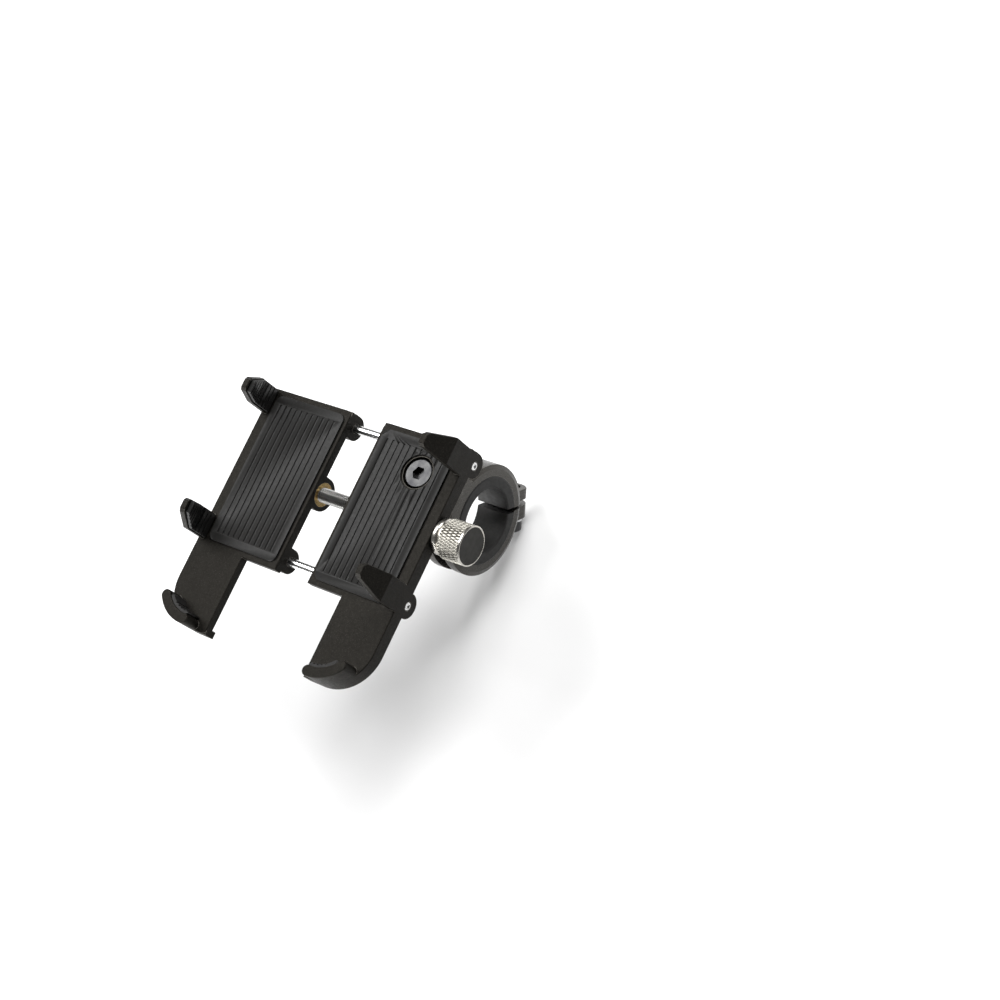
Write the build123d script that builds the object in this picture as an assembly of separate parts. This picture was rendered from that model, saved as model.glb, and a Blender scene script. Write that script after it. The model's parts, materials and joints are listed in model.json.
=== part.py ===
"""Phone mount for a handlebar: bar clamp, swivel, fixed jaw, sliding jaw and screw knob.

Millimetres. Origin: centre of the clamp's bore. +X runs along the handlebar, +Y towards
the top of the phone, +Z out of the bar towards the phone's screen.
"""
from build123d import *
import math
import os

os.makedirs("parts", exist_ok=True)

# ---- driving dimensions ------------------------------------------------------
BAY = (-27.5, 11.5, 44.5)      # middle of the phone's front glass, seen from the bore centre

BAR_R = 11.1                   # 22.2 mm handlebar
RING_R = 18.8                  # outside of the clamp ring
RING_IN = 15.0                 # metal bore that the rubber liner sits in
RING_W = 12.2                  # ring width along the bar
RIM_R, RIM_X = 1.5, 0.6        # bevel of the ring's rims: radial and along the bar
SPLIT = 0.6                    # half of the gap between the ring halves
TILT = -52.0                   # the ring is split on a plane turned this far about the bar
LINER_GAP, LIP_X = 0.9, 0.25   # half gap between the liner halves, and how proud their lips are
PIN_Y, PIN_R, KNUCKLE_R = -17.2, 1.0, 2.1
KNUCKLE_GAP = 0.6              # room round the strap's knuckles in the saddle
TONGUE = 2.1                   # half width of the saddle's hinge tongue
SLOT = 2.25                    # half width of the strap's hinge slot
SLOT_DEEP = -7.0               # how far the slot goes right through the strap, from the split
GROOVE_T, GROOVE_END = 2.4, -6.0    # the groove that carries the slot on round the strap
EAR_Y, EAR_END, EAR_HALF = 22.0, 26.0, 4.4
EAR_GAP = 1.0                  # half of the gap between the ears
SADDLE_EAR, STRAP_EAR = 4.6, 6.0    # thickness of each ear, from the split
SCREW_R, SCREW_HEAD_R, SCREW_HEAD_T = 2.0, 3.5, 4.0    # M4 clamp screw
SCREW_WASHER_R, SCREW_WASHER_T = 3.9, 0.8
SCREW_ROOM = 0.3               # clearance round the screw in the saddle's ear, and its extra length
NECK_R, NECK_TOP = 7.5, 23.0   # swivel pedestal on the saddle
FLARE_R, FLARE_Z0, FLARE_Z1 = 9.5, 15.0, 20.0    # where the pedestal widens into the ring
WASHER_T = 1.0
SWIVEL_R, BOLT_FOOT = 3.0, 15.8    # swivel bolt shank and its lower end
BOLT_HEAD_R = 5.0

JAW_X = 42.4                   # outer face of each jaw, from the bay's middle
JAW_IN = 7.0                   # inner end of each jaw's floor
PLATE = 2.4                    # jaw wall and claw thickness
FLOOR_Z, FLOOR_T = -8.35, 3.0  # top of the jaw floor, and its thickness
SKIRT_Z = -13.25               # lower edge of the jaw's outer skirt
JAW_TOP, JAW_BOT = 1.0, -83.4  # upper and lower ends of a jaw
LEG_X, LEG_Y = 21.5, -56.0     # the leg that reaches down to the corner tab
CORNER_R = 15.0
TAB_Z, TAB_T = -1.75, 3.5      # corner tab height and thickness
TAB_A0, TAB_FOOT = -38, 0.5    # angle where the tab starts, and its straight end
MID_Y = -27.0                  # screw axis
ROD_DY, ROD_Z, ROD_R = 24.1, -13.55, 1.5
EAR_R = 4.1                    # lobe round each rod
BOSS_R = 5.6                   # lobe round the lead screw
FOLD_Z, TIP_Z, LEAN = 0.2, 9.9, 3.9
CLAW_W, CLAW_OUT, CLAW_IN = 9.0, 3.6, 1.0
EDGE = 0.35                    # rounding on the jaw's visible edges
PAD_T, FLOOR_PAD_T = 1.1, 0.6
LEAD_R, LEAD_END = 2.5, -32.0  # M5 lead screw
KNOB_R, KNOB_END = 6.5, 54.3


# ---- helpers -------------------------------------------------------------------
def box(x0, x1, y0, y1, z0, z1):
    return Pos((x0 + x1) / 2, (y0 + y1) / 2, (z0 + z1) / 2) * Box(x1 - x0, y1 - y0, z1 - z0)


def rod_x(y, z, r, x0, x1):
    return Pos((x0 + x1) / 2, y, z) * Rot(0, 90, 0) * Cylinder(r, x1 - x0)


def rod_z(x, y, r, z0, z1):
    return Pos(x, y, (z0 + z1) / 2) * Cylinder(r, z1 - z0)


def prism_y(points, y0, y1):
    """Points are (x, z); the solid runs from y0 to y1."""
    face = make_face(Polyline(*[(x, y0, z) for x, z in points], close=True))
    return extrude(face, y1 - y0, dir=(0, 1, 0))


def prism_x(points, x0, x1):
    """Points are (y, z); the solid runs from x0 to x1."""
    face = make_face(Polyline(*[(x0, y, z) for y, z in points], close=True))
    return extrude(face, x1 - x0, dir=(1, 0, 0))


def lathe_x(points, y, z):
    """Points are (x, radius) round an axis along X at (y, z)."""
    face = make_face(Polyline(*[(x, 0, r) for x, r in points], close=True))
    return Pos(0, y, z) * revolve(face, Axis.X, 360)


def lathe_z(points, x, y):
    """Points are (radius, z) round an axis along Z at (x, y)."""
    face = make_face(Polyline(*[(r, 0, z) for r, z in points], close=True))
    return Pos(x, y, 0) * revolve(face, Axis.Z, 360)


def bay(shape):
    """Moves a shape drawn from the phone bay's middle into the part's frame."""
    return Pos(*BAY) * shape


def tilted(shape):
    """Turns a ring piece drawn with a level split to where the split really is."""
    return Rot(TILT, 0, 0) * shape


def save(shape, node):
    solids = shape.solids()
    if len(solids) == 1:
        shape = solids[0]
    export_step(shape, f"parts/{node}.step")


# ---- bar clamp -----------------------------------------------------------------
HW = RING_W / 2


def above(side, gap):
    """Everything on one side of the split: side +1 is the saddle's, -1 the strap's."""
    z0, z1 = sorted((side * gap, side * 30))
    return box(-20, 20, -30, 30, z0, z1)


def ring_half(side):
    """Half of the ring with its ear, drawn with a level split."""
    ring = lathe_x([(-HW, RING_IN), (HW, RING_IN), (HW, RING_R - RIM_R), (HW - RIM_X, RING_R),
                    (-HW + RIM_X, RING_R), (-HW, RING_R - RIM_R)], 0, 0)
    z0, z1 = sorted((side * EAR_GAP, SADDLE_EAR if side > 0 else -STRAP_EAR))
    ear = box(-EAR_HALF, EAR_HALF, 12.0, EAR_END, z0, z1)
    ear = fillet(ear.edges().filter_by(Axis.Z).sort_by(Axis.Y)[-2:], 3.6)
    ear = fillet(ear.faces().sort_by(Axis.Z)[-1 if side > 0 else 0].edges(), 0.4)
    return (ring & above(side, SPLIT)) + (ear - rod_x(0, 0, RING_IN, -HW - 1, HW + 1))


def knuckle_room(radius):
    """The space for the strap's two knuckles, beside the tongue."""
    left = rod_x(PIN_Y, 0, radius, -HW - 1, -TONGUE)
    return left + rod_x(PIN_Y, 0, radius, TONGUE, HW + 1)


def clamp_saddle():
    body = ring_half(1) + rod_x(PIN_Y, 0, KNUCKLE_R, -TONGUE, TONGUE)
    body = body - rod_x(PIN_Y, 0, PIN_R, -TONGUE - 1, TONGUE + 1)
    r, top = SCREW_R + SCREW_ROOM, SADDLE_EAR + 1
    hole = rod_z(0, EAR_Y, r, 0, top) + rod_z(0, EAR_Y + SCREW_ROOM, r, 0, top)
    body = tilted(body - hole)
    neck = rod_z(0, 0, NECK_R, FLARE_Z0 - 3, NECK_TOP)
    flare = lathe_z([(0, FLARE_Z0), (FLARE_R, FLARE_Z0), (FLARE_R, FLARE_Z0 + 1.5),
                     (NECK_R, FLARE_Z1), (0, FLARE_Z1)], 0, 0)
    neck = (neck + flare) & box(-HW, HW, -30, 30, 0, FLARE_Z1)
    neck = neck + rod_z(0, 0, NECK_R, FLARE_Z1, NECK_TOP)
    body = body + (neck - rod_x(0, 0, RING_IN, -HW - 2, HW + 2))
    body = body - tilted(knuckle_room(KNUCKLE_R + KNUCKLE_GAP))
    return body - rod_z(0, 0, SWIVEL_R, 12, 40)


def clamp_strap():
    body = ring_half(-1)
    for s in (-1, 1):
        x0, x1 = sorted((s * SLOT, s * HW))
        body = body + rod_x(PIN_Y, 0, KNUCKLE_R, x0, x1)
    body = body - box(-SLOT, SLOT, -25, -12, SLOT_DEEP, 4)
    groove = rod_x(0, 0, RING_R + 1, -SLOT, SLOT) - rod_x(0, 0, RING_R - GROOVE_T, -SLOT, SLOT)
    body = body - (groove & box(-SLOT, SLOT, -25, GROOVE_END, -25, 0))
    body = body - rod_x(PIN_Y, 0, PIN_R + 0.05, -HW - 1, HW + 1)
    body = body - rod_z(0, EAR_Y, SCREW_R + 0.06, -12, 0)
    return tilted(body)


def liner(side):
    """Rubber half liner whose rims stand a little proud of the metal ring."""
    w, lip = HW + LIP_X, 0.5
    ring = lathe_x([(-HW, BAR_R), (HW, BAR_R), (w, BAR_R + lip), (w, RING_IN - lip), (HW, RING_IN),
                    (-HW, RING_IN), (-w, RING_IN - lip), (-w, BAR_R + lip)], 0, 0)
    half = (ring & above(side, LINER_GAP)) - rod_x(PIN_Y, 0, KNUCKLE_R + 0.5, -20, 20)
    return tilted(half)


def hinge_pin():
    return tilted(rod_x(PIN_Y, 0, PIN_R, -HW, HW))


def clamp_screw():
    z = -STRAP_EAR - SCREW_WASHER_T
    r, foot = SCREW_HEAD_R, z - SCREW_HEAD_T
    head = lathe_z([(0, z), (r, z), (r, foot + 0.5), (r - 0.4, foot), (0, foot)], 0, EAR_Y)
    tip = SADDLE_EAR - 0.3
    shank = lathe_z([(0, z - 1), (SCREW_R, z - 1), (SCREW_R, tip - 0.5), (SCREW_R - 0.5, tip), (0, tip)],
                    0, EAR_Y)
    socket = Pos(0, EAR_Y, foot) * extrude(RegularPolygon(1.73, 6), 2.4)
    return tilted(head + shank - socket)


def clamp_screw_washer():
    z = -STRAP_EAR
    disc = rod_z(0, EAR_Y, SCREW_WASHER_R, z - SCREW_WASHER_T, z)
    return tilted(disc - rod_z(0, EAR_Y, SCREW_R, z - 2, z + 1))


# ---- swivel --------------------------------------------------------------------
SEAT_Z = BAY[2] + FLOOR_Z - 4.05         # floor of the counterbore in the fixed jaw
HEAD_TOP = BAY[2] + FLOOR_Z - 0.4


def swivel_bolt():
    z = SEAT_Z + 0.55
    r = BOLT_HEAD_R
    body = lathe_z([(0, BOLT_FOOT), (SWIVEL_R - 0.5, BOLT_FOOT), (SWIVEL_R, BOLT_FOOT + 0.5),
                    (SWIVEL_R, z), (r, z), (r, HEAD_TOP - 0.5), (r - 0.5, HEAD_TOP), (0, HEAD_TOP)],
                   0, 0)
    socket = Pos(0, 0, HEAD_TOP - 2.0) * extrude(RegularPolygon(2.31, 6), 3)
    return body - socket


def ring_washer(r_in, r_out, z0, z1):
    return rod_z(0, 0, r_out, z0, z1) - rod_z(0, 0, r_in, z0 - 1, z1 + 1)


# ---- jaws ----------------------------------------------------------------------
def jaw_outline(inset, inner):
    """Floor outline of the jaw on the +X side, inset from its outer edge."""
    xo, yb, r = JAW_X - inset, JAW_BOT + inset, CORNER_R - inset
    a = (xo, yb + r)
    b = (xo - r, yb)
    pts = [(xo, JAW_TOP), a]
    lines = [Line(pts[0], a), CenterArc((xo - r, yb + r), r, 0, -90), Line(b, (LEG_X, yb)),
             Line((LEG_X, yb), (LEG_X, LEG_Y)), Line((LEG_X, LEG_Y), (inner, LEG_Y)),
             Line((inner, LEG_Y), (inner, JAW_TOP)), Line((inner, JAW_TOP), pts[0])]
    return make_face(lines)


def slab(face, z0, z1):
    return Pos(0, 0, z0) * extrude(face, z1 - z0)


def claw_range(upper):
    """y of the claw's outer and inner edges at its foot."""
    if upper:
        return JAW_TOP - 0.3, JAW_TOP - 0.3 - CLAW_W
    return 2 * MID_Y - JAW_TOP + 0.3, 2 * MID_Y - JAW_TOP + 0.3 + CLAW_W


def claw(upper):
    yo, yi = claw_range(upper)
    s = 1 if upper else -1
    z0 = FLOOR_Z - FLOOR_T
    lo, hi = min(yo, yi), max(yo, yi)
    section = prism_y([(JAW_X, z0), (JAW_X, FOLD_Z), (JAW_X - LEAN, TIP_Z),
                       (JAW_X - LEAN - PLATE, TIP_Z), (JAW_X - PLATE, FOLD_Z - 0.4),
                       (JAW_X - PLATE, z0)], lo, hi)
    tip_o, tip_i = yo - s * CLAW_OUT, yi + s * CLAW_IN
    c = 1.1
    side = prism_x([(yo, z0), (yo, FOLD_Z), (tip_o + s * 0.4, TIP_Z - c), (tip_o - s * c * 0.7, TIP_Z),
                    (tip_i + s * c * 0.7, TIP_Z), (tip_i - s * 0.1, TIP_Z - c), (yi, FOLD_Z),
                    (yi, z0)], 30, 50)
    body = section & side
    edges = [e for e in body.edges() if e.center().Z > FLOOR_Z - 2]
    return fillet(edges, EDGE)


def claw_pad(upper):
    yo, yi = claw_range(upper)
    s = 1 if upper else -1
    lo, hi = min(yo, yi), max(yo, yi)
    x = JAW_X - PLATE
    k = LEAN / (TIP_Z - FOLD_Z)
    zt = TIP_Z - 1.6
    xt = x - k * (zt - FOLD_Z + 0.4)
    z0 = FLOOR_Z + FLOOR_PAD_T + 0.1
    section = prism_y([(x, z0), (x, FOLD_Z - 0.4), (xt, zt), (xt - PAD_T, zt - 0.4),
                       (x - PAD_T, FOLD_Z - 0.8), (x - PAD_T, z0)], lo, hi)
    side = prism_x([(yo - s * 0.5, z0), (yo - s * 0.5, FOLD_Z), (yo - s * (CLAW_OUT + 0.3), zt),
                    (yi + s * (CLAW_IN + 0.3), zt), (yi + s * 0.5, FOLD_Z), (yi + s * 0.5, z0)],
                   30, 50)
    return section & side


def tab_face(r_out, r_in, a0):
    """Curved band on the corner with rounded ends, from angle a0 round to the bottom, then straight."""
    cx, cy = JAW_X - CORNER_R, JAW_BOT + CORNER_R
    m, h = (r_out + r_in) / 2, (r_out - r_in) / 2
    c, s = math.cos(math.radians(a0)), math.sin(math.radians(a0))
    foot = cx - TAB_FOOT
    return make_face([CenterArc((cx, cy), r_out, -90, 90 + a0),
                      CenterArc((cx + m * c, cy + m * s), h, a0, 180),
                      CenterArc((cx, cy), r_in, a0, -90 - a0),
                      Line((cx, cy - r_in), (foot, cy - r_in)),
                      CenterArc((foot, cy - m), h, 90, 180),
                      Line((foot, cy - r_out), (cx, cy - r_out))])


def jaw():
    """The jaw on the +X side, before its holes: floor, skirt, claws, corner tab and lobes."""
    floor_bottom = FLOOR_Z - FLOOR_T
    floor = slab(jaw_outline(0, JAW_IN), floor_bottom, FLOOR_Z)
    corners = [e for e in floor.edges().filter_by(Axis.Z) if e.center().X < LEG_X + 1]
    outer = [e for e in corners if e.center().Y < LEG_Y - 5 or e.center().Y > 0]
    floor = fillet(outer, 2.0)
    floor = fillet(floor.faces().sort_by(Axis.Z)[-1].edges(), EDGE)
    skirt = slab(jaw_outline(0, JAW_IN), SKIRT_Z, FLOOR_Z - 0.5)
    core = slab(jaw_outline(PLATE, JAW_IN - 5), SKIRT_Z - 1, floor_bottom)
    core = core + box(JAW_IN - 5, JAW_X - PLATE, -50, JAW_TOP + 5, SKIRT_Z - 1, floor_bottom)
    core = core + box(LEG_X - 5, LEG_X + 0.1, JAW_BOT + PLATE, LEG_Y, SKIRT_Z - 1, floor_bottom)
    body = floor + (skirt - core)
    for upper in (True, False):
        body = body + claw(upper)
        y = MID_Y + (ROD_DY if upper else -ROD_DY)
        body = body + rod_x(y, ROD_Z, EAR_R, JAW_IN, JAW_X)
        body = body + box(JAW_IN, JAW_X, y - EAR_R, y + EAR_R, ROD_Z, floor_bottom + 0.5)
    boss = rod_x(MID_Y, ROD_Z, BOSS_R, JAW_IN, JAW_X - PLATE)
    boss = boss & box(0, JAW_X, MID_Y - 10, MID_Y + 10, -30, floor_bottom + 0.5)
    body = body + boss
    body = body + box(JAW_IN, JAW_X - PLATE, MID_Y - BOSS_R, MID_Y + BOSS_R, ROD_Z, floor_bottom + 0.5)
    tab = slab(tab_face(CORNER_R, CORNER_R - TAB_T, TAB_A0), FLOOR_Z - FLOOR_T, TAB_Z)
    tab = fillet(tab.faces().sort_by(Axis.Z)[-1].edges(), EDGE)
    return body + tab


def fixed_jaw():
    body = bay(jaw())
    bottom = NECK_TOP + WASHER_T + 0.05
    boss = rod_z(0, 0, NECK_R, bottom, BAY[2] + FLOOR_Z - 1)
    body = body + boss
    body = body - rod_z(0, 0, SWIVEL_R + 0.06, 0, 60) - rod_z(0, 0, BOLT_HEAD_R + 0.4, SEAT_Z, 60)
    for s in (1, -1):
        y = MID_Y + s * ROD_DY
        body = body - bay(rod_x(y, ROD_Z, ROD_R, 0, JAW_X + 1))
    cut = rod_x(MID_Y, ROD_Z, LEAD_R + 0.4, 0, JAW_X + 1)
    cut = cut + rod_x(MID_Y, ROD_Z, 4.0, JAW_X - 7.0, JAW_X + 1)
    cut = cut + box(JAW_X - 10.0, JAW_X - 7.0, MID_Y - 4.7, MID_Y + 4.7, ROD_Z - 9, ROD_Z + 4.1)
    return body - bay(cut)


def sliding_jaw():
    body = mirror(jaw(), about=Plane.YZ)
    for s in (1, -1):
        body = body - rod_x(MID_Y + s * ROD_DY, ROD_Z, ROD_R + 0.06, -JAW_X - 1, 0)
    body = body - rod_x(MID_Y, ROD_Z, LEAD_R + 0.4, -JAW_X - 1, 0)
    body = body - rod_x(MID_Y, ROD_Z, 4.0, -JAW_IN - 8.0, 0)
    return bay(body)


def floor_pad():
    z = FLOOR_Z
    x0, x1, y0, y1 = JAW_IN + 1.5, JAW_X - PLATE - PAD_T - 0.8, LEG_Y + 2.0, JAW_TOP - 2.0
    pad = box(x0, x1, y0, y1, z, z + FLOOR_PAD_T)
    return fillet(pad.edges().filter_by(Axis.Z), 2.5)


def corner_pad():
    face = tab_face(CORNER_R - TAB_T, CORNER_R - TAB_T - PAD_T, TAB_A0 - 6)
    return slab(face, FLOOR_Z, TAB_Z - 0.5)


def guide_rod(upper):
    y = MID_Y + (ROD_DY if upper else -ROD_DY)
    c = 0.3
    return lathe_x([(-31.5, 0), (-31.5, ROD_R - c), (-31.5 + c, ROD_R), (JAW_X - c, ROD_R),
                    (JAW_X, ROD_R - c), (JAW_X, 0)], y, ROD_Z)


# ---- lead screw and knob -------------------------------------------------------
def lead_screw():
    g0 = JAW_X - 8.2                                # groove for the retaining clip
    return lathe_x([(LEAD_END, 0), (LEAD_END, LEAD_R - 0.5), (LEAD_END + 0.5, LEAD_R), (g0, LEAD_R),
                    (g0, 1.9), (g0 + 0.9, 1.9), (g0 + 0.9, LEAD_R), (KNOB_END - 3.0, LEAD_R),
                    (KNOB_END - 3.0, 0)], MID_Y, ROD_Z)


def screw_bushing():
    b = rod_x(MID_Y, ROD_Z, 4.0, JAW_X - 7.0, JAW_X)
    return b - rod_x(MID_Y, ROD_Z, LEAD_R + 0.05, 0, 60)


def retaining_clip():
    x0 = JAW_X - 8.15
    ring = rod_x(MID_Y, ROD_Z, 3.9, x0, x0 + 0.8) - rod_x(MID_Y, ROD_Z, 1.9, 0, 60)
    mouth = box(0, 60, MID_Y - 1.5, MID_Y + 1.5, ROD_Z - 6, ROD_Z)
    return ring - mouth


def traveller_nut():
    x1 = -JAW_IN
    return rod_x(MID_Y, ROD_Z, 4.0, x1 - 8.0, x1) - rod_x(MID_Y, ROD_Z, LEAD_R + 0.05, -60, 0)


def knob():
    x = JAW_X + 0.35
    prof = [(x, 0), (x, 5.5), (x + 0.4, 5.9), (x + 1.8, 5.9), (x + 2.2, 5.3), (x + 2.8, 5.3),
            (x + 3.5, KNOB_R), (KNOB_END - 0.7, KNOB_R), (KNOB_END, KNOB_R - 0.7), (KNOB_END, 0)]
    body = lathe_x(prof, MID_Y, ROD_Z)
    return body - rod_x(MID_Y, ROD_Z, LEAD_R, 0, KNOB_END - 3.0)


# ---- the pieces ------------------------------------------------------------------
pieces = {
    "clamp_saddle": clamp_saddle(),
    "saddle_liner": liner(1),
    "hinge_pin": hinge_pin(),
    "clamp_strap": clamp_strap(),
    "strap_liner": liner(-1),
    "clamp_screw": clamp_screw(),
    "clamp_screw_washer": clamp_screw_washer(),
    "swivel_washer": ring_washer(SWIVEL_R, NECK_R - 0.2, NECK_TOP, NECK_TOP + WASHER_T),
    "bolt_washer": ring_washer(SWIVEL_R, BOLT_HEAD_R, SEAT_Z + 0.05, SEAT_Z + 0.55),
    "swivel_bolt": swivel_bolt(),
    "fixed_jaw": fixed_jaw(),
    "fixed_floor_pad": bay(floor_pad()) - rod_z(0, 0, BOLT_HEAD_R + 1, 0, 60),
    "fixed_upper_claw_pad": bay(claw_pad(True)),
    "fixed_lower_claw_pad": bay(claw_pad(False)),
    "fixed_corner_pad": bay(corner_pad()),
    "guide_rod_upper": bay(guide_rod(True)),
    "guide_rod_lower": bay(guide_rod(False)),
    "screw_bushing": bay(screw_bushing()),
    "sliding_jaw": sliding_jaw(),
    "sliding_floor_pad": bay(mirror(floor_pad(), about=Plane.YZ)),
    "sliding_upper_claw_pad": bay(mirror(claw_pad(True), about=Plane.YZ)),
    "sliding_lower_claw_pad": bay(mirror(claw_pad(False), about=Plane.YZ)),
    "sliding_corner_pad": bay(mirror(corner_pad(), about=Plane.YZ)),
    "traveller_nut": bay(traveller_nut()),
    "lead_screw": bay(lead_screw()),
    "retaining_clip": bay(retaining_clip()),
    "knob": bay(knob()),
}

for node, shape in pieces.items():
    save(shape, node)
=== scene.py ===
"""Looks for the handlebar phone mount: camera, studio, materials and the detailed pieces.

Metres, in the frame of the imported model: the origin is the centre of the bar clamp's bore,
+X runs along the handlebar, +Y towards the phone's top and +Z towards its screen.
"""
import json
import math

import bmesh
import bpy
from mathutils import Matrix, Vector
from mathutils.bvhtree import BVHTree


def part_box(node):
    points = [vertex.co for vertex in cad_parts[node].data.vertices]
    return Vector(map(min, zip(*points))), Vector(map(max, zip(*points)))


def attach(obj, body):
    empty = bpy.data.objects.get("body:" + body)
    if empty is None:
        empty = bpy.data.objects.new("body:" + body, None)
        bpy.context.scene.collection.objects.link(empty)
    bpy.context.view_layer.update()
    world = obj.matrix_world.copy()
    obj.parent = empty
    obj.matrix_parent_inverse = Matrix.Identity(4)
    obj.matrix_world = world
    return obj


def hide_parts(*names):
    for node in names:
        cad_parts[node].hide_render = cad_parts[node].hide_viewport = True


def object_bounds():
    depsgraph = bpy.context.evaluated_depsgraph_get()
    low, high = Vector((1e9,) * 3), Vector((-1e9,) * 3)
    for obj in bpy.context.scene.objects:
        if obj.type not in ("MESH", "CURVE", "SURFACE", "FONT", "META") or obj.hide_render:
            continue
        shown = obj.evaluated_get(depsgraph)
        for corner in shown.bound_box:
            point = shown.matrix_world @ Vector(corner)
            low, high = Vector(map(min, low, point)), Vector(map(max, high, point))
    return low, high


MM = 0.001
PAD_GROOVE_PITCH, PAD_GROOVE_W, PAD_GROOVE_DEEP = 2.4 * MM, 0.8 * MM, 0.3 * MM
GRIP_GROOVE_PITCH, GRIP_GROOVE_W, GRIP_GROOVE_DEEP = 1.7 * MM, 0.6 * MM, 0.35 * MM
GRIP_GROOVE_LONG = 30 * MM          # cutters on claw and corner pads run right through
CORNER_BEND = 10.4 * MM             # radius of the corner pad's inner curve
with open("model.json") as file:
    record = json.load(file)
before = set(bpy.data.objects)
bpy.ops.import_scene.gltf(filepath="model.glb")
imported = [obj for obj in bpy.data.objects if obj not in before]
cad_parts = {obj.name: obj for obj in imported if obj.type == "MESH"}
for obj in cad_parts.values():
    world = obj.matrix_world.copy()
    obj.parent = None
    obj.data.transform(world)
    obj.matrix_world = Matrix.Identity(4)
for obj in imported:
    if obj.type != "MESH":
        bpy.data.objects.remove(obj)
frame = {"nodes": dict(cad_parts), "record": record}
nodes = frame["nodes"]
cad_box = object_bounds()


# ---- places read from the frame -----------------------------------------------
def box(node):
    low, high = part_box(node)
    return Vector(low), Vector(high)


def middle(node):
    low, high = box(node)
    return (low + high) / 2


# ---- shader helpers --------------------------------------------------------------
def new_material(name):
    mat = bpy.data.materials.new(name)
    mat.use_nodes = True
    tree = mat.node_tree
    return mat, tree, tree.nodes["Principled BSDF"]


def object_coords(tree, scale=(1, 1, 1)):
    coord = tree.nodes.new("ShaderNodeTexCoord")
    mapping = tree.nodes.new("ShaderNodeMapping")
    mapping.inputs["Scale"].default_value = scale
    tree.links.new(coord.outputs["Object"], mapping.inputs["Vector"])
    return mapping.outputs["Vector"]


def noise(tree, vector, size_mm, detail=3.0, roughness=0.55):
    """Noise whose features are about size_mm across."""
    node = tree.nodes.new("ShaderNodeTexNoise")
    node.inputs["Scale"].default_value = 1.0 / (size_mm * MM)
    node.inputs["Detail"].default_value = detail
    node.inputs["Roughness"].default_value = roughness
    tree.links.new(vector, node.inputs["Vector"])
    return node.outputs["Fac"]


def ramp(tree, value, stops):
    """stops is a list of (position, (r, g, b)) or (position, grey)."""
    node = tree.nodes.new("ShaderNodeValToRGB")
    elements = node.color_ramp.elements
    while len(elements) < len(stops):
        elements.new(0.5)
    for element, (position, colour) in zip(elements, stops):
        element.position = position
        if not isinstance(colour, tuple):
            colour = (colour, colour, colour)
        element.color = (*colour, 1.0)
    tree.links.new(value, node.inputs["Fac"])
    return node.outputs["Color"]


def mix_colour(tree, factor, a, b):
    node = tree.nodes.new("ShaderNodeMix")
    node.data_type = "RGBA"
    tree.links.new(factor, node.inputs["Factor"])
    for socket, value in ((node.inputs["A"], a), (node.inputs["B"], b)):
        if isinstance(value, tuple):
            socket.default_value = (*value, 1.0)
        else:
            tree.links.new(value, socket)
    return node.outputs["Result"]


def bump(tree, shader, height, depth_mm, strength=1.0):
    node = tree.nodes.new("ShaderNodeBump")
    node.inputs["Strength"].default_value = strength
    node.inputs["Distance"].default_value = depth_mm * MM
    tree.links.new(height, node.inputs["Height"])
    tree.links.new(node.outputs["Normal"], shader.inputs["Normal"])


def painted_glint_dots(tree, vector, cell_mm, radius):
    """1 in small random dots, 0 between them."""
    node = tree.nodes.new("ShaderNodeTexVoronoi")
    node.inputs["Scale"].default_value = 1.0 / (cell_mm * MM)
    tree.links.new(vector, node.inputs["Vector"])
    return ramp(tree, node.outputs["Distance"], [(0.0, 1.0), (radius, 0.0)])


# ---- materials -------------------------------------------------------------------
def edge_highlight_and_wear(tree, width_mm):
    """1 on edges narrower than width_mm, 0 on flat faces: the mask for painted edge highlights,
    partly edge wear.
    """
    rounded = tree.nodes.new("ShaderNodeBevel")
    rounded.samples = 6
    rounded.inputs["Radius"].default_value = width_mm * MM
    face = tree.nodes.new("ShaderNodeNewGeometry")
    dot = tree.nodes.new("ShaderNodeVectorMath")
    dot.operation = "DOT_PRODUCT"
    tree.links.new(rounded.outputs["Normal"], dot.inputs[0])
    tree.links.new(face.outputs["Normal"], dot.inputs[1])
    return ramp(tree, dot.outputs["Value"], [(0.86, 1.0), (0.985, 0.0)])


def anodised(name, dark, light, rough, grain_mm, grain_depth, specks, gloss, edge_mm):
    """Black anodised aluminium over a blasted surface, with fine bright specks as painted glints
    and edges lightened as painted highlight and wear.
    """
    mat, tree, shader = new_material(name)
    where = object_coords(tree)
    cloud = ramp(tree, noise(tree, where, 0.6), [(0.35, dark), (0.7, light)])
    # painted glints: small random dots in a light colour stand in for the sparkle of the blasted
    # surface
    dots = painted_glint_dots(tree, where, 0.42, specks)
    colour = mix_colour(tree, dots, cloud, (0.085, 0.080, 0.070))
    # painted highlight, partly wear: narrow edges are lightened in colour
    colour = mix_colour(tree, edge_highlight_and_wear(tree, edge_mm), colour, (0.150, 0.142, 0.125))
    tree.links.new(colour, shader.inputs["Base Color"])
    rough_map = ramp(tree, noise(tree, where, 1.2), [(0.3, rough - 0.06), (0.7, rough + 0.08)])
    tree.links.new(rough_map, shader.inputs["Roughness"])
    shader.inputs["Specular IOR Level"].default_value = gloss
    shader.inputs["Specular Tint"].default_value = (1.0, 0.93, 0.82, 1.0)
    bump(tree, shader, noise(tree, where, grain_mm, 2.0), grain_depth)
    return mat


def rubber(name, grain_mm, rough, gloss=0.3):
    mat, tree, shader = new_material(name)
    where = object_coords(tree)
    dark, light = (0.0085, 0.0082, 0.0078), (0.0125, 0.0120, 0.0112)
    tree.links.new(ramp(tree, noise(tree, where, 0.8), [(0.3, dark), (0.75, light)]),
                   shader.inputs["Base Color"])
    rough_map = ramp(tree, noise(tree, where, 1.0), [(0.3, rough - 0.05), (0.7, rough + 0.07)])
    tree.links.new(rough_map, shader.inputs["Roughness"])
    shader.inputs["Specular IOR Level"].default_value = gloss
    bump(tree, shader, noise(tree, where, grain_mm, 3.0), 0.02)
    return mat


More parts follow.
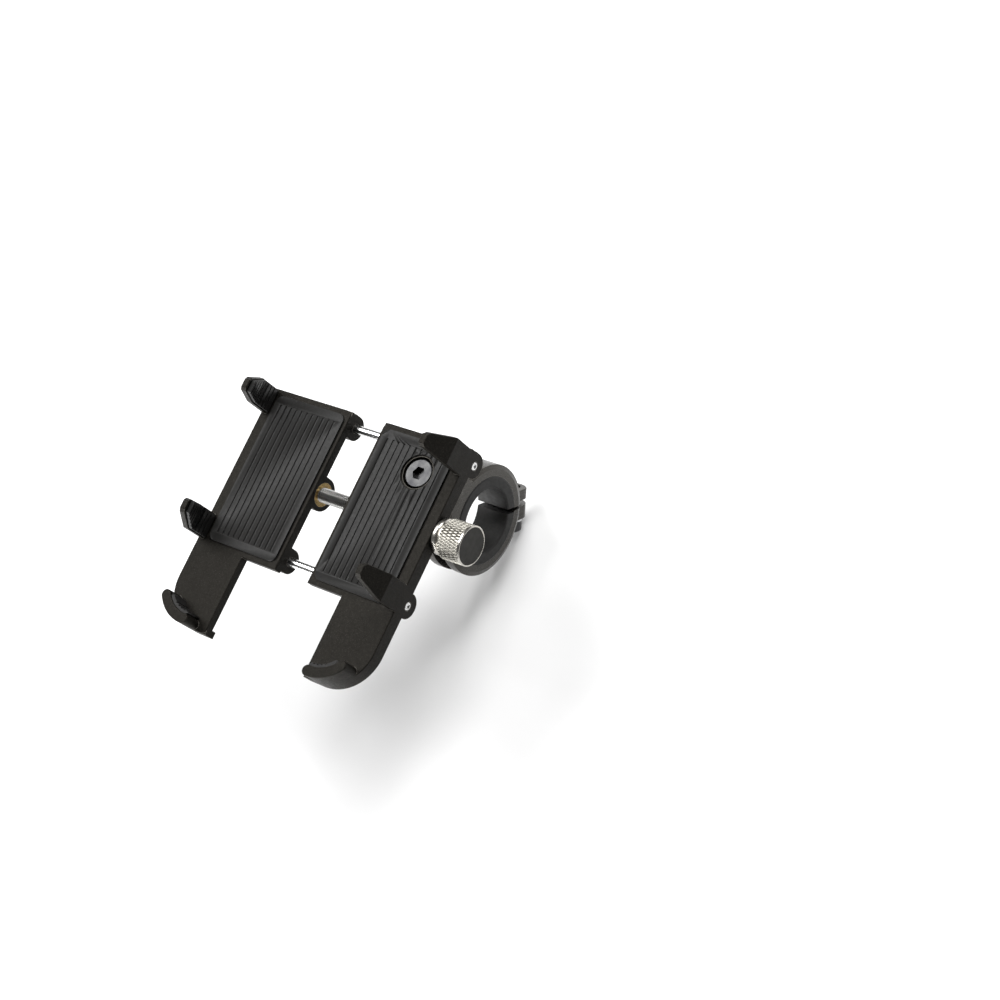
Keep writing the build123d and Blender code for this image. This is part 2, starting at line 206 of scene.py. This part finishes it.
def metal(name, dark, light, rough, streak_axis, streak_mm=0.12, depth=0.004):
    """Plain or plated metal with fine turning or drawing marks along one axis."""
    mat, tree, shader = new_material(name)
    where = object_coords(tree)
    scale = [1.0, 1.0, 1.0]
    scale[streak_axis] = 0.02
    along = object_coords(tree, scale)
    colour = ramp(tree, noise(tree, where, 3.0), [(0.3, dark), (0.7, light)])
    tree.links.new(colour, shader.inputs["Base Color"])
    shader.inputs["Metallic"].default_value = 1.0
    marks = noise(tree, along, streak_mm, 2.0)
    rough_map = ramp(tree, marks, [(0.3, max(0.05, rough - 0.07)), (0.7, rough + 0.09)])
    tree.links.new(rough_map, shader.inputs["Roughness"])
    bump(tree, shader, marks, depth)
    return mat


JAW = anodised("jaw_black", (0.0034, 0.0031, 0.0026), (0.0092, 0.0085, 0.0071), rough=0.44,
               grain_mm=0.22, grain_depth=0.06, specks=0.19, gloss=0.10, edge_mm=0.35)
CLAMP = anodised("clamp_black", (0.0105, 0.0102, 0.0095), (0.0165, 0.0160, 0.0150), rough=0.29,
                 grain_mm=0.3, grain_depth=0.005, specks=0.06, gloss=0.4, edge_mm=0.12)
LINER = rubber("liner_black", 0.4, 0.6)
PAD = rubber("pad_black", 0.25, 0.55)
BLACK_STEEL = metal("black_oxide", (0.03, 0.03, 0.032), (0.06, 0.06, 0.06), 0.34, 2)
WASHER = metal("washer_steel", (0.42, 0.42, 0.43), (0.56, 0.56, 0.56), 0.3, 0)
ROD = metal("rod_steel", (0.60, 0.60, 0.60), (0.72, 0.72, 0.71), 0.2, 0)
LEAD = metal("lead_steel", (0.50, 0.50, 0.49), (0.64, 0.63, 0.61), 0.26, 0)
BRASS = metal("brass", (0.55, 0.38, 0.16), (0.70, 0.52, 0.25), 0.27, 0)
KNOB = metal("knob_nickel", (0.42, 0.405, 0.37), (0.54, 0.52, 0.48), 0.26, 1)
KNURL = metal("knob_knurling", (0.37, 0.355, 0.315), (0.47, 0.455, 0.41), 0.40, 1)
# painted reflection: the knob's nickel end face coloured near black for the dark surroundings it
# mirrors
KNOB_END_PAINTED_REFLECTION = metal("knob_end_painted_reflection", (0.018, 0.0175, 0.016), (0.030, 0.029, 0.027), 0.40, 1)
ACETAL = rubber("acetal_black", 0.6, 0.42)

SLOT_MATERIALS = {
    "jaw_metal": JAW, "clamp_metal": CLAMP, "liner_rubber": LINER, "pad_rubber": PAD,
    "screw_steel": BLACK_STEEL, "washer_steel": WASHER, "rod_steel": ROD, "lead_steel": LEAD,
    "brass": BRASS, "knob_metal": KNOB, "swivel_washer": ACETAL,
}
node_slot = {entry["node"]: entry["material_slot"] for entry in frame["record"]["subparts"]}
for name, obj in nodes.items():
    if not obj.material_slots:
        obj.data.materials.append(None)
    for material_slot in obj.material_slots:
        material_slot.material = SLOT_MATERIALS[node_slot[name]]


def paint_valley_shade(mat, y, z, radius, depth, dark):
    """Paints shade into a turned piece's colour where its surface lies below its outer radius:
    painted shade in the valleys.
    """
    tree = mat.node_tree
    shader = tree.nodes["Principled BSDF"]
    colour = shader.inputs["Base Color"].links[0].from_socket
    coord = tree.nodes.new("ShaderNodeTexCoord")
    offset = tree.nodes.new("ShaderNodeMapping")
    offset.inputs["Location"].default_value = (0, -y, -z)
    offset.inputs["Scale"].default_value = (0, 1, 1)
    tree.links.new(coord.outputs["Object"], offset.inputs["Vector"])
    length = tree.nodes.new("ShaderNodeVectorMath")
    length.operation = "LENGTH"
    tree.links.new(offset.outputs["Vector"], length.inputs[0])
    height = tree.nodes.new("ShaderNodeMapRange")
    height.inputs["From Min"].default_value = radius - 0.95 * depth
    height.inputs["From Max"].default_value = radius - 0.15 * depth
    tree.links.new(length.outputs["Value"], height.inputs["Value"])
    tree.links.new(mix_colour(tree, height.outputs["Result"], dark, colour),
                   shader.inputs["Base Color"])


# ---- detailed pieces ---------------------------------------------------------------
def stand_in_for(obj, node, body):
    """Puts a finished piece in a CAD node's place."""
    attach(obj, body)
    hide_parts(node)
    return obj


def lathe(name, profile, y, z, around, relief=None):
    """A turned piece along X at (y, z); relief(x, angle) is how much is cut off the radius there.

    The profile is (x, radius) and starts and ends on the axis.
    """
    verts = [(profile[0][0], y, z)]
    for x, radius in profile[1:-1]:
        for step in range(around):
            angle = 2 * math.pi * step / around
            r = radius - (relief(x, angle) if relief else 0.0)
            verts.append((x, y + r * math.cos(angle), z + r * math.sin(angle)))
    verts.append((profile[-1][0], y, z))
    faces = []
    last = len(verts) - 1
    rows = len(profile) - 2
    for step in range(around):
        after = (step + 1) % around
        faces.append((0, 1 + after, 1 + step))
        for row in range(rows - 1):
            a, b = 1 + row * around, 1 + (row + 1) * around
            faces.append((a + step, a + after, b + after, b + step))
        end = 1 + (rows - 1) * around
        faces.append((last, end + step, end + after))
    return finished_mesh(name, verts, faces)


def finished_mesh(name, verts, faces, sharp_degrees=32):
    mesh = bpy.data.meshes.new(name)
    mesh.from_pydata(verts, [], faces)
    work = bmesh.new()
    work.from_mesh(mesh)
    bmesh.ops.recalc_face_normals(work, faces=work.faces)
    work.to_mesh(mesh)
    work.free()
    mesh.shade_smooth()
    mesh.set_sharp_from_angle(angle=math.radians(sharp_degrees))
    obj = bpy.data.objects.new(name, mesh)
    bpy.context.scene.collection.objects.link(obj)
    return obj


def triangle_wave(t):
    """0 at whole numbers and 1 half way between them."""
    return 1 - abs(2 * (t % 1.0) - 1)


def spread(start, stop, step):
    count = max(1, round((stop - start) / step))
    return [start + (stop - start) * k / count for k in range(count + 1)]


def axis_of(node):
    low, high = box(node)
    return low.x, high.x, (low.y + high.y) / 2, (low.z + high.z) / 2, (high.y - low.y) / 2


def knurled_knob():
    """Collar, groove, knurling of long flat-topped lozenges, and a thin bright rim round an end
    face painted dark as a painted reflection.
    """
    x0, x1, y, z, radius = axis_of("knob")
    diamonds, pitch, depth = 41, 3.35 * MM, 0.22 * MM
    grip0, grip1 = x0 + 3.3 * MM, x1 - 0.75 * MM

    def relief(x, angle):
        if not grip0 < x < grip1:
            return 0.0
        turn = diamonds * angle / (2 * math.pi)
        along = (x - grip0) / pitch
        height = min(triangle_wave(turn + along), triangle_wave(turn - along))
        return depth * (1 - min(1.0, 2.0 * height))

    collar, neck = radius - 0.6 * MM, radius - 1.2 * MM
    bore, bore_end = 2.5 * MM, x1 - 3.0 * MM
    rim = 0.2 * MM
    profile = [(bore_end, 0), (bore_end, bore), (x0, bore), (x0, collar - 0.4 * MM),
               (x0 + 0.15 * MM, collar - 0.12 * MM), (x0 + 0.4 * MM, collar),
               (x0 + 1.6 * MM, collar), (x0 + 1.85 * MM, collar - 0.15 * MM), (x0 + 2.1 * MM, neck),
               (x0 + 2.7 * MM, neck), (x0 + 3.1 * MM, radius - 0.45 * MM)]
    profile += [(x, radius) for x in spread(grip0, grip1, pitch / 30)]
    profile += [(x1 - rim, radius), (x1 - 0.08 * MM, radius - 0.12 * MM), (x1, radius - rim),
                (x1, radius - 0.4 * MM), (x1 - 0.12 * MM, radius - 0.5 * MM), (x1 - 0.12 * MM, 0)]
    knob = lathe("knurled_knob", profile, y, z, diamonds * 12, relief)
    knob.data.materials.append(KNOB)
    knob.data.materials.append(KNOB_END_PAINTED_REFLECTION)
    knob.data.materials.append(KNURL)
    # painted shade in the valleys of the knurling
    paint_valley_shade(KNURL, y, z, radius, depth, (0.085, 0.080, 0.070))
    # the end face inside the rim takes the painted dark reflection; the knurled band takes the
    # knurling
    for face in knob.data.polygons:
        off_axis = math.hypot(face.center.y - y, face.center.z - z)
        if face.center.x > x1 - 0.2 * MM and off_axis < radius - 0.49 * MM:
            face.material_index = 1
        elif grip0 < face.center.x < grip1 and off_axis > radius - 2 * depth:
            face.material_index = 2
    return stand_in_for(knob, "knob", "screw")


def threaded_screw():
    """The lead screw with its real helical thread and the groove of its retaining clip."""
    x0, x1, y, z, radius = axis_of("lead_screw")
    pitch, depth = 0.8 * MM, 0.44 * MM
    clip = box("retaining_clip")[0].x - 0.05 * MM
    clip_width, clip_radius = 0.9 * MM, 1.9 * MM
    lead_in = 0.5 * MM
    thread_end = clip - 2.0 * MM

    def relief(x, angle):
        if not x0 + lead_in <= x < thread_end:
            return 0.0
        fade = min(1.0, (thread_end - x) / pitch)
        return depth * fade * (1 - triangle_wave(x / pitch - angle / (2 * math.pi)))

    profile = [(x0, 0), (x0, radius - lead_in)]
    profile += [(x, radius) for x in spread(x0 + lead_in, thread_end, pitch / 8)]
    profile += [(clip, radius), (clip, clip_radius), (clip + clip_width, clip_radius),
                (clip + clip_width, radius), (x1, radius), (x1, 0)]
    screw = lathe("lead_screw_thread", profile, y, z, 32, relief)
    screw.data.materials.append(LEAD)
    # painted shade in the roots of the thread
    paint_valley_shade(LEAD, y, z, radius, depth, (0.10, 0.10, 0.095))
    return stand_in_for(screw, "lead_screw", "screw")


def dimpled_rod(node):
    """Ground rod with chamfered ends and a centre drilling in each."""
    x0, x1, y, z, radius = axis_of(node)
    bevel, dimple, deep = 0.3 * MM, 0.9 * MM, 1.2 * MM
    profile = [(x0 + deep, 0), (x0, dimple), (x0, radius - bevel), (x0 + bevel, radius),
               (x1 - bevel, radius), (x1, radius - bevel), (x1, dimple), (x1 - deep, 0)]
    rod = lathe(node + "_ground", profile, y, z, 48)
    rod.data.materials.append(ROD)
    return stand_in_for(rod, node, "fixed_jaw")


def groove_cutter(work, place, outward, run, width, depth, length):
    """Adds to a bmesh a bar sunk into a surface at place; run is the groove's direction."""
    outward, run = outward.normalized(), run.normalized()
    across = run.cross(outward).normalized()
    turn = Matrix((across, run, outward)).transposed().to_4x4()
    size = Matrix.Diagonal((width, length, 2 * depth, 1.0))
    bmesh.ops.create_cube(work, size=1.0, matrix=Matrix.Translation(place) @ turn @ size)


def carved(node, body, material, add_grooves):
    """A copy of a CAD piece with grooves cut into its surface."""
    mesh = nodes[node].data.copy()
    mesh.name = node + "_grooved"
    piece = bpy.data.objects.new(mesh.name, mesh)
    bpy.context.scene.collection.objects.link(piece)
    work = bmesh.new()
    add_grooves(work, BVHTree.FromPolygons([v.co for v in mesh.vertices],
                                           [tuple(f.vertices) for f in mesh.polygons]))
    cutter_mesh = bpy.data.meshes.new("cutter")
    work.to_mesh(cutter_mesh)
    work.free()
    cutter = bpy.data.objects.new("cutter", cutter_mesh)
    bpy.context.scene.collection.objects.link(cutter)
    cut = piece.modifiers.new("grooves", "BOOLEAN")
    cut.operation, cut.solver, cut.object = "DIFFERENCE", "EXACT", cutter
    bpy.context.view_layer.update()
    depsgraph = bpy.context.evaluated_depsgraph_get()
    done = bpy.data.meshes.new_from_object(piece.evaluated_get(depsgraph))
    piece.modifiers.clear()
    piece.data = done
    bpy.data.objects.remove(cutter)
    done.materials.clear()
    done.materials.append(material)
    for face in done.polygons:
        face.material_index = 0
    done.shade_smooth()
    done.set_sharp_from_angle(angle=math.radians(30))
    return stand_in_for(piece, node, body)


def floor_pad(side):
    """Long shallow grooves that stop short of the pad's ends."""
    node = side + "_floor_pad"
    low, high = box(node)

    def grooves(work, _surface):
        margin = 3.0 * MM
        for x in spread(low.x + margin, high.x - margin, PAD_GROOVE_PITCH):
            place = Vector((x, (low.y + high.y) / 2, high.z))
            groove_cutter(work, place, Vector((0, 0, 1)), Vector((0, 1, 0)), PAD_GROOVE_W,
                          PAD_GROOVE_DEEP, high.y - low.y - 2 * margin)
    return carved(node, side + "_jaw", PAD, grooves)


def claw_pad(side, level):
    """Cross grooves up the face that grips the phone's side."""
    node = f"{side}_{level}_claw_pad"
    low, high = box(node)
    inward = -1.0 if side == "fixed" else 1.0

    def grooves(work, surface):
        for z in spread(low.z + 2.2 * MM, high.z - 1.6 * MM, GRIP_GROOVE_PITCH):
            start = Vector((middle(node).x + inward * 0.02, middle(node).y, z))
            place, normal, _, _ = surface.ray_cast(start, Vector((-inward, 0, 0)))
            if place is not None:
                groove_cutter(work, place, normal, Vector((0, 1, 0)), GRIP_GROOVE_W,
                              GRIP_GROOVE_DEEP, GRIP_GROOVE_LONG)
    return carved(node, side + "_jaw", PAD, grooves)


def corner_pad(side):
    """Upright grooves round the curve that holds the phone's corner."""
    node = side + "_corner_pad"
    low, high = box(node)
    outward = 1.0 if side == "fixed" else -1.0
    edge = high.x if outward > 0 else low.x
    centre = Vector((edge - outward * CORNER_BEND, low.y + CORNER_BEND,
                     (low.z + high.z) / 2))

    def grooves(work, surface):
        for degrees in range(-82, -42, 8):
            angle = math.radians(degrees)
            ray = Vector((outward * math.cos(angle), math.sin(angle), 0))
            place, normal, _, _ = surface.ray_cast(centre, ray)
            if place is not None:
                groove_cutter(work, place, normal, Vector((0, 0, 1)), GRIP_GROOVE_W,
                              GRIP_GROOVE_DEEP, GRIP_GROOVE_LONG)
    return carved(node, side + "_jaw", PAD, grooves)


knurled_knob()
threaded_screw()
dimpled_rod("guide_rod_upper")
dimpled_rod("guide_rod_lower")
for side in ("fixed", "sliding"):
    floor_pad(side)
    corner_pad(side)
    for level in ("upper", "lower"):
        claw_pad(side, level)


# ---- studio ------------------------------------------------------------------------
def studio(floor_z):
    mesh = bpy.data.meshes.new("floor")
    size = 6.0
    mesh.from_pydata([(-size, -size, floor_z), (size, -size, floor_z), (size, size, floor_z),
                      (-size, size, floor_z)], [], [(0, 1, 2, 3)])
    floor = bpy.data.objects.new("floor", mesh)
    bpy.context.scene.collection.objects.link(floor)
    mat, tree, shader = new_material("floor_pale")
    where = object_coords(tree)
    tree.links.new(ramp(tree, noise(tree, where, 60.0), [(0.0, 0.80), (1.0, 0.83)]),
                   shader.inputs["Base Color"])
    shader.inputs["Roughness"].default_value = 0.9
    mesh.materials.append(mat)
    world = bpy.data.worlds.new("studio")
    world.use_nodes = True
    world.node_tree.nodes["Background"].inputs["Color"].default_value = (1.0, 1.0, 1.0, 1.0)
    world.node_tree.nodes["Background"].inputs["Strength"].default_value = 0.10
    bpy.context.scene.world = world


def area_light(name, place, target, size, power):
    data = bpy.data.lights.new(name, "AREA")
    data.shape = "RECTANGLE"
    data.size, data.size_y = size
    data.energy = power
    light = bpy.data.objects.new(name, data)
    bpy.context.scene.collection.objects.link(light)
    light.location = place
    light.rotation_euler = (Vector(target) - Vector(place)).to_track_quat("-Z", "Y").to_euler()


def camera():
    """The camera stands 72 cm off, on the knob's side, and looks down along the holder."""
    right = Vector((0.78829, 0.4194, -0.45022))
    down = Vector((0.25631, -0.88902, -0.37941))
    ahead = right.cross(down).normalized()
    down = ahead.cross(right).normalized()
    right.normalize()
    turn = Matrix((right, -down, -ahead)).transposed().to_4x4()
    data = bpy.data.cameras.new("camera")
    data.sensor_width = 36.0
    data.lens = 68.61
    cam = bpy.data.objects.new("camera", data)
    bpy.context.scene.collection.objects.link(cam)
    cam.matrix_world = Matrix.Translation((0.3538, -0.1057, 0.5004)) @ turn
    bpy.context.scene.camera = cam


camera()
low, high = cad_box
studio(low[2] - 0.0002)
area_light("key", (0.10, 0.75, 0.80), (0, 0, 0.03), (0.7, 0.5), 14.5)
area_light("low_front", (-0.20, -0.70, 0.10), (0, 0, 0.03), (0.5, 0.25), 9.5)
area_light("top", (-0.50, 0.15, 0.75), (0, 0, 0.03), (0.6, 0.4), 7.0)
bpy.context.scene.view_settings.view_transform = "Standard"
